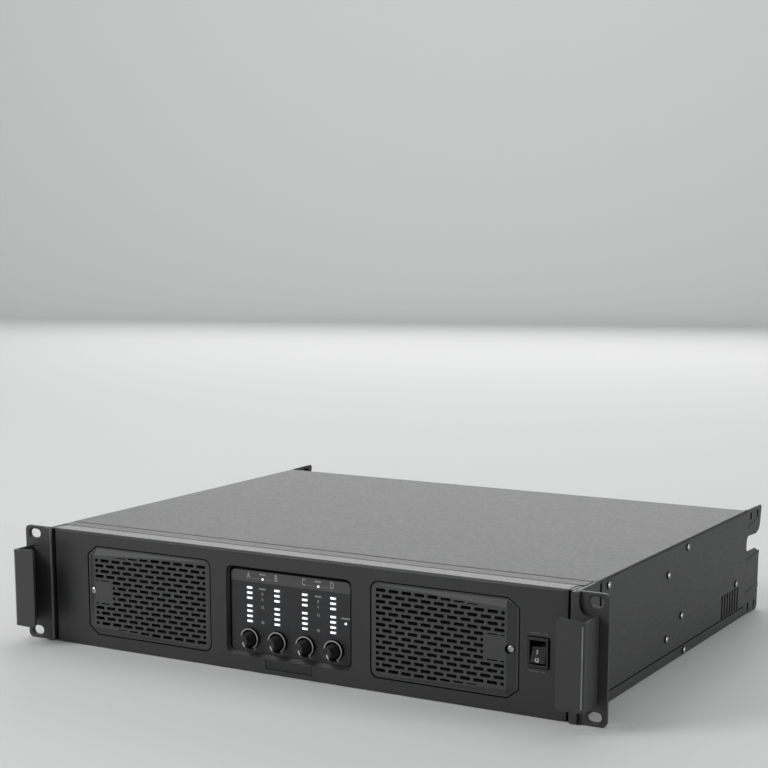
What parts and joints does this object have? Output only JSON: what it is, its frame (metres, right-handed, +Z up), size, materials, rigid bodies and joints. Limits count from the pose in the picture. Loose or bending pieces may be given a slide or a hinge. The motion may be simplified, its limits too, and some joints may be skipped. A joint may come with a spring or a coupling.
{
  "type": "power amplifier",
  "caption": "Two-unit rack power amplifier with perforated front air covers, gain knobs, level meters, rocker switch, sheet handles and rear support brackets.",
  "frame": {"origin": "middle of the underside of the overall bounding box", "axes": "+X to the right seen from the front, across the rack width; +Y from the front panel to the rear; +Z up"},
  "size_m": [0.4826, 0.401, 0.0881],
  "materials": {
    "powder_coat": "satin black powder coat, fine texture",
    "fascia_plastic": "matt moulded black",
    "panel_print": "satin printed panel",
    "knob_plastic": "satin",
    "light_guide": "translucent white light guide",
    "switch_plastic": "semi-gloss",
    "foam": "open-cell filter foam",
    "zinc_steel": "zinc plated",
    "screw_steel": "plated screw",
    "aluminium": "extruded, satin",
    "circuit_board": "solder mask",
    "component": "moulded component case",
    "fan_plastic": "moulded",
    "socket_plastic": "moulded"
  },
  "bodies": {
    "chassis": {"base_tray": "powder_coat", "top_cover": "powder_coat", "rear_panel": "powder_coat", "left_side_panel": "powder_coat", "right_side_panel": "powder_coat", "left_rack_ear": "powder_coat", "right_rack_ear": "powder_coat", "left_handle": "powder_coat", "right_handle": "powder_coat", "front_bulkhead": "powder_coat", "front_fascia": "fascia_plastic", "name_plate": "panel_print", "control_panel": "panel_print", "left_filter_foam": "foam", "right_filter_foam": "foam", "power_switch_housing": "switch_plastic", "control_board": "circuit_board", "amp_board_left": "circuit_board", "amp_board_right": "circuit_board", "power_supply_board": "circuit_board", "mains_transformer": "component", "reservoir_capacitor_1": "component", "reservoir_capacitor_2": "component", "left_heatsink": "aluminium", "right_heatsink": "aluminium", "left_fan_housing": "fan_plastic", "right_fan_housing": "fan_plastic", "light_guide_a": "light_guide", "gain_pot_a": "component", "input_socket_a": "zinc_steel", "speaker_socket_a": "socket_plastic", "light_guide_b": "light_guide", "gain_pot_b": "component", "input_socket_b": "zinc_steel", "speaker_socket_b": "socket_plastic", "light_guide_c": "light_guide", "gain_pot_c": "component", "input_socket_c": "zinc_steel", "speaker_socket_c": "socket_plastic", "light_guide_d": "light_guide", "gain_pot_d": "component", "input_socket_d": "zinc_steel", "speaker_socket_d": "socket_plastic", "mains_inlet": "socket_plastic"},
    "gain_control_a": {"gain_knob_a": "knob_plastic", "gain_shaft_a": "zinc_steel"},
    "gain_control_b": {"gain_knob_b": "knob_plastic", "gain_shaft_b": "zinc_steel"},
    "gain_control_c": {"gain_knob_c": "knob_plastic", "gain_shaft_c": "zinc_steel"},
    "gain_control_d": {"gain_knob_d": "knob_plastic", "gain_shaft_d": "zinc_steel"},
    "power_rocker": {"power_rocker": "switch_plastic"},
    "left_air_cover": {"left_air_cover": "fascia_plastic", "left_cover_screw": "screw_steel"},
    "right_air_cover": {"right_air_cover": "fascia_plastic", "right_cover_screw": "screw_steel"},
    "left_fan_rotor": {"left_fan_rotor": "fan_plastic"},
    "right_fan_rotor": {"right_fan_rotor": "fan_plastic"}
  },
  "joints": [
    {"name": "gain_a_turn", "type": "hinge", "parent": "chassis", "child": "gain_control_a", "pos_m": [-0.0357, -0.1775, 0.0237], "axis": [0, 1, 0], "range_deg": [-300, 0]},
    {"name": "gain_b_turn", "type": "hinge", "parent": "chassis", "child": "gain_control_b", "pos_m": [-0.01227, -0.1775, 0.0237], "axis": [0, 1, 0], "range_deg": [-300, 0]},
    {"name": "gain_c_turn", "type": "hinge", "parent": "chassis", "child": "gain_control_c", "pos_m": [0.01116, -0.1775, 0.0237], "axis": [0, 1, 0], "range_deg": [-300, 0]},
    {"name": "gain_d_turn", "type": "hinge", "parent": "chassis", "child": "gain_control_d", "pos_m": [0.03459, -0.1775, 0.0237], "axis": [0, 1, 0], "range_deg": [-300, 0]},
    {"name": "power_rocker_tilt", "type": "hinge", "parent": "chassis", "child": "power_rocker", "pos_m": [0.1928, -0.1745, 0.0438], "axis": [1, 0, 0], "range_deg": [0, 18]},
    {"name": "left_cover_swing", "type": "hinge", "parent": "chassis", "child": "left_air_cover", "pos_m": [-0.0687, -0.1775, 0.04395], "axis": [0, 0, 1], "range_deg": [0, 80]},
    {"name": "right_cover_swing", "type": "hinge", "parent": "chassis", "child": "right_air_cover", "pos_m": [0.0667, -0.1775, 0.04395], "axis": [0, 0, -1], "range_deg": [0, 80]},
    {"name": "left_fan_spin", "type": "hinge", "parent": "chassis", "child": "left_fan_rotor", "pos_m": [-0.1235, -0.135, 0.044], "axis": [0, 1, 0], "continuous": true},
    {"name": "right_fan_spin", "type": "hinge", "parent": "chassis", "child": "right_fan_rotor", "pos_m": [0.1235, -0.135, 0.044], "axis": [0, 1, 0], "continuous": true}
  ]
}
